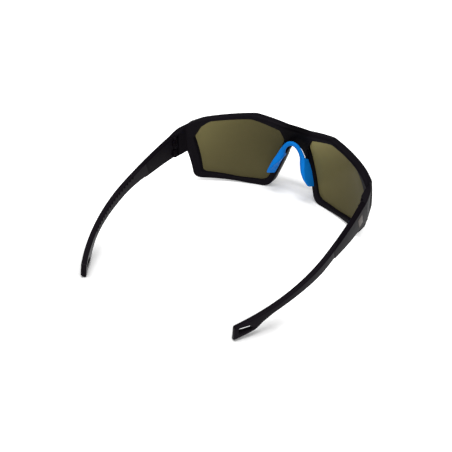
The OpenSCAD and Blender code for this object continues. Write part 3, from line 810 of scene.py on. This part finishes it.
def moulded(name, dark, light, rough, grain, depth, specular):
    """Moulded plastic or rubber: slow colour changes, and a fine grain in gloss and relief."""
    mat, tree, shader = nodes_of(name)
    coords = add_node(tree, "TexCoord").outputs["Object"]
    slow, fine = noise(tree, coords, 160, 4), noise(tree, coords, grain, 2)
    feed(tree, shader, {
        "Base Color": blend_colour(tree, slow, dark, light),
        "Roughness": spread(tree, fine, *rough),
        "Specular IOR Level": specular,
        "Specular Tint": (1, 0.92, 1, 1),
        "Normal": bump(tree, fine, 0.35, depth),
    })
    return mat


def brushed(name, dark, light, rough, metal, stretch):
    """Metal with fine brush lines: stretch gives their scale along x, y and z."""
    mat, tree, shader = nodes_of(name)
    coords = add_node(tree, "TexCoord").outputs["Object"]
    scaled = add_node(tree, "Mapping", {"Vector": coords, "Scale": stretch}).outputs["Vector"]
    lines = noise(tree, scaled, 1.0, 3)
    feed(tree, shader, {
        "Base Color": blend_colour(tree, lines, dark, light),
        "Roughness": spread(tree, lines, *rough),
        "Metallic": metal,
        "Normal": bump(tree, lines, 0.25, 0.00003),
    })
    return mat


def lens_material(name, dark, light):
    """Olive tint, with painted light that makes it lighter towards +X and the brow, and a little see-through."""
    mat, tree, shader = nodes_of(name)
    coords = add_node(tree, "TexCoord").outputs
    rise = vector(tree, "DOT_PRODUCT", coords["Generated"], (2.6, 0, 2.0))["Value"]
    # Painted light: the colour grows lighter towards +X and the brow
    painted_light = calc(tree, "EXPONENT", calc(tree, "SUBTRACT", rise, 4.2))
    fine = noise(tree, coords["Object"], 900, 2)
    feed(tree, shader, {
        "Base Color": blend_colour(tree, painted_light, dark, light),
        "Roughness": spread(tree, fine, 0.2, 0.26),
        "Transmission Weight": 0.15,
        "IOR": 1.08,
    })
    return mat


def paint_shade_round_bridge(mat):
    """Painted shade: the base colour is darker round the bridge, where the saddle sits."""
    bridge_z, near, far, darkest = 0.04, 0.006, 0.017, 0.25
    tree = mat.node_tree
    shader = tree.nodes["Principled BSDF"]
    coords = add_node(tree, "TexCoord").outputs["Object"]
    away = vector(tree, "MULTIPLY_ADD", coords, (1, 0, 1), (0, 0, -bridge_z))["Vector"]
    share = map_range(tree, vector(tree, "LENGTH", away)["Value"], near, far, darkest, 1.0, "SMOOTHSTEP")
    colour = shader.inputs["Base Color"].links[0].from_socket
    shaded = add_node(tree, "VectorMath", {0: colour, "Scale": share}, operation="SCALE").outputs["Vector"]
    feed(tree, shader, {"Base Color": shaded})


front_mat = moulded(
    "front_nylon", dark=(0.0052, 0.0043, 0.006), light=(0.0068, 0.0057, 0.0078),
    rough=(0.4, 0.5), grain=2600, depth=0.00002, specular=0.025)
# Painted shade round the bridge, where the saddle sits
paint_shade_round_bridge(front_mat)
arm_mat = moulded(
    "arm_nylon", dark=(0.0036, 0.0026, 0.0041), light=(0.0048, 0.0035, 0.0054),
    rough=(0.27, 0.35), grain=2600, depth=0.00001, specular=0.021)
tip_mat = moulded(
    "tip_rubber", dark=(0.0058, 0.0044, 0.0065), light=(0.0074, 0.0057, 0.0082),
    rough=(0.28, 0.37), grain=2000, depth=0.00001, specular=0.035)
nose_mat = moulded(
    "nose_rubber", dark=(0.002, 0.168, 0.6), light=(0.004, 0.192, 0.66),
    rough=(0.5, 0.62), grain=1700, depth=0.00004, specular=0.04)
badge_mat = brushed(
    "badge_taupe", dark=(0.037, 0.028, 0.023), light=(0.05, 0.037, 0.031),
    rough=(0.4, 0.55), metal=0.9, stretch=(300, 300, 9000))
steel_mat = brushed(
    "brushed_steel", dark=(0.45, 0.45, 0.46), light=(0.6, 0.6, 0.61),
    rough=(0.22, 0.36), metal=1.0, stretch=(6000, 6000, 500))
# Both lenses share one olive tint; the right lens's lighter colours are painted light
lens_mats = [
    lens_material("lens_tint_and_light_left", dark=(0.094, 0.081, 0.037), light=(0.3, 0.262, 0.11)),
    lens_material("lens_tint_and_light_right", dark=(0.102, 0.088, 0.04), light=(0.44, 0.384, 0.162)),
]


# Pieces
def piece(name, solid, mat, body, node, sharp):
    """Puts a solid into the scene for a node of the part. Edges over sharp degrees aren't smoothed."""
    obj = solid.object(name)
    obj.data.transform(Matrix.Scale(MM, 4) @ Matrix.Translation((0, -ORIGIN_Y, 0)))
    obj.data.shade_smooth()
    obj.data.set_sharp_from_angle(angle=math.radians(sharp))
    obj.data.materials.append(mat)
    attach(obj, body)
    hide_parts(node)


piece("front_frame", front_solid, front_mat, "front", "frame_front", sharp=30)
piece("lens_pane_left", lens, lens_mats[0], "front", "lens_left", sharp=40)
piece("lens_pane_right", lens.mirrored(), lens_mats[1], "front", "lens_right", sharp=40)
piece("nose_saddle", nose_saddle(), nose_mat, "front", "nose_piece", sharp=60)
arm, tip, badge = temple_arm(), temple_tip(), badge_plate(extra=0, edge=0.12)
for side, shape in [("left", lambda s: s), ("right", Solid.mirrored)]:
    body = "temple_" + side
    piece("arm_" + side, shape(arm), arm_mat, body, "temple_arm_" + side, sharp=30)
    piece("tip_" + side, shape(tip), tip_mat, body, "temple_tip_" + side, sharp=30)
    piece("badge_" + side, shape(badge), badge_mat, body, "temple_badge_" + side, sharp=40)
# Hidden nodes keep their solids
for name in ["nose_wire"] + [n + s for n in ("temple_core_", "hinge_screw_") for s in ("left", "right")]:
    nodes[name].data.materials.clear()
    nodes[name].data.materials.append(steel_mat)

# Floor: lifted to white for the camera and in reflections, but less where the photo shows shadows
PLAIN_LIFT = 0.7
# place, reach of the least lift, reach of the plain lift, least lift: the bridge, and the tips on both sides
SHADOWS = [((0, -0.075, 0), 0.034, 0.07, 0.21), ((0.057, 0.075, 0), 0.02, 0.05, 0.1)]
mat, tree, shader = nodes_of("floor")
coords = add_node(tree, "TexCoord").outputs["Object"]
parts = add_node(tree, "SeparateXYZ", {"Vector": coords}).outputs
beside = calc(tree, "ABSOLUTE", parts["X"])
place = add_node(tree, "CombineXYZ", {"X": beside, "Y": parts["Y"]}).outputs["Vector"]
lifts = []
for spot, near, far, least in SHADOWS:
    gap = vector(tree, "DISTANCE", place, spot)["Value"]
    lifts.append(map_range(tree, gap, near, far, least, PLAIN_LIFT))
ray = add_node(tree, "LightPath").outputs
reflected = calc(tree, "MAXIMUM", ray["Is Glossy Ray"], ray["Is Transmission Ray"])
plain = calc(tree, "MULTIPLY", reflected, PLAIN_LIFT)
feed(tree, shader, {
    "Base Color": blend_colour(tree, noise(tree, coords, 3, 2), (0.88, 0.88, 0.88), (0.9, 0.9, 0.9)),
    "Roughness": 0.9,
    "Specular IOR Level": 0.0,
    "Emission Color": (1, 1, 1, 1),
    "Emission Strength": calc(tree, "MULTIPLY_ADD", ray["Is Camera Ray"], calc(tree, "MINIMUM", *lifts), plain),
})
FLOOR_HALF, FLOOR_DROP = 6, 0.0002
floor_mesh = bpy.data.meshes.new("floor")
corners = [(x * FLOOR_HALF, y * FLOOR_HALF, 0) for x, y in [(-1, -1), (1, -1), (1, 1), (-1, 1)]]
floor_mesh.from_pydata(corners, [], [(0, 1, 2, 3)])
floor = bpy.data.objects.new("floor", floor_mesh)
floor.location.z = -FLOOR_DROP
floor_mesh.materials.append(mat)
scene.collection.objects.link(floor)

# World: pale overhead, dim at the sides
world = bpy.data.worlds.new("studio")
scene.world = world
world.use_nodes = True
tree = world.node_tree
look = add_node(tree, "TexCoord").outputs["Generated"]
up = add_node(tree, "SeparateXYZ", {"Vector": look}).outputs["Z"]
feed(tree, tree.nodes["Background"], {
    "Color": (1, 1, 1, 1),
    "Strength": map_range(tree, up, 0.58, 0.95, 0.16, 1.0, "SMOOTHSTEP"),
})


# Lights
def striplight(name, place, along, size, watts):
    """A rectangle of light that faces the glasses, with its long side along a direction."""
    target = Vector((0, 0, 0.02))
    lamp = bpy.data.lights.new(name, "AREA")
    lamp.shape = "RECTANGLE"
    lamp.size, lamp.size_y = size
    lamp.energy = watts
    obj = bpy.data.objects.new(name, lamp)
    scene.collection.objects.link(obj)
    back = (Vector(place) - target).normalized()
    side = Vector(along)
    side = (side - back * side.dot(back)).normalized()
    turn = Matrix((side, back.cross(side), back)).transposed()
    obj.matrix_world = Matrix.Translation(place) @ turn.to_4x4()


striplight("key", place=(-0.05, 0.2, 1.5), along=(1, 0, 0), size=(1.1, 0.24), watts=13)
striplight("fill", place=(-0.75, 1.25, 0.8), along=(0.86, 0.5, 0), size=(1.0, 0.8), watts=7)
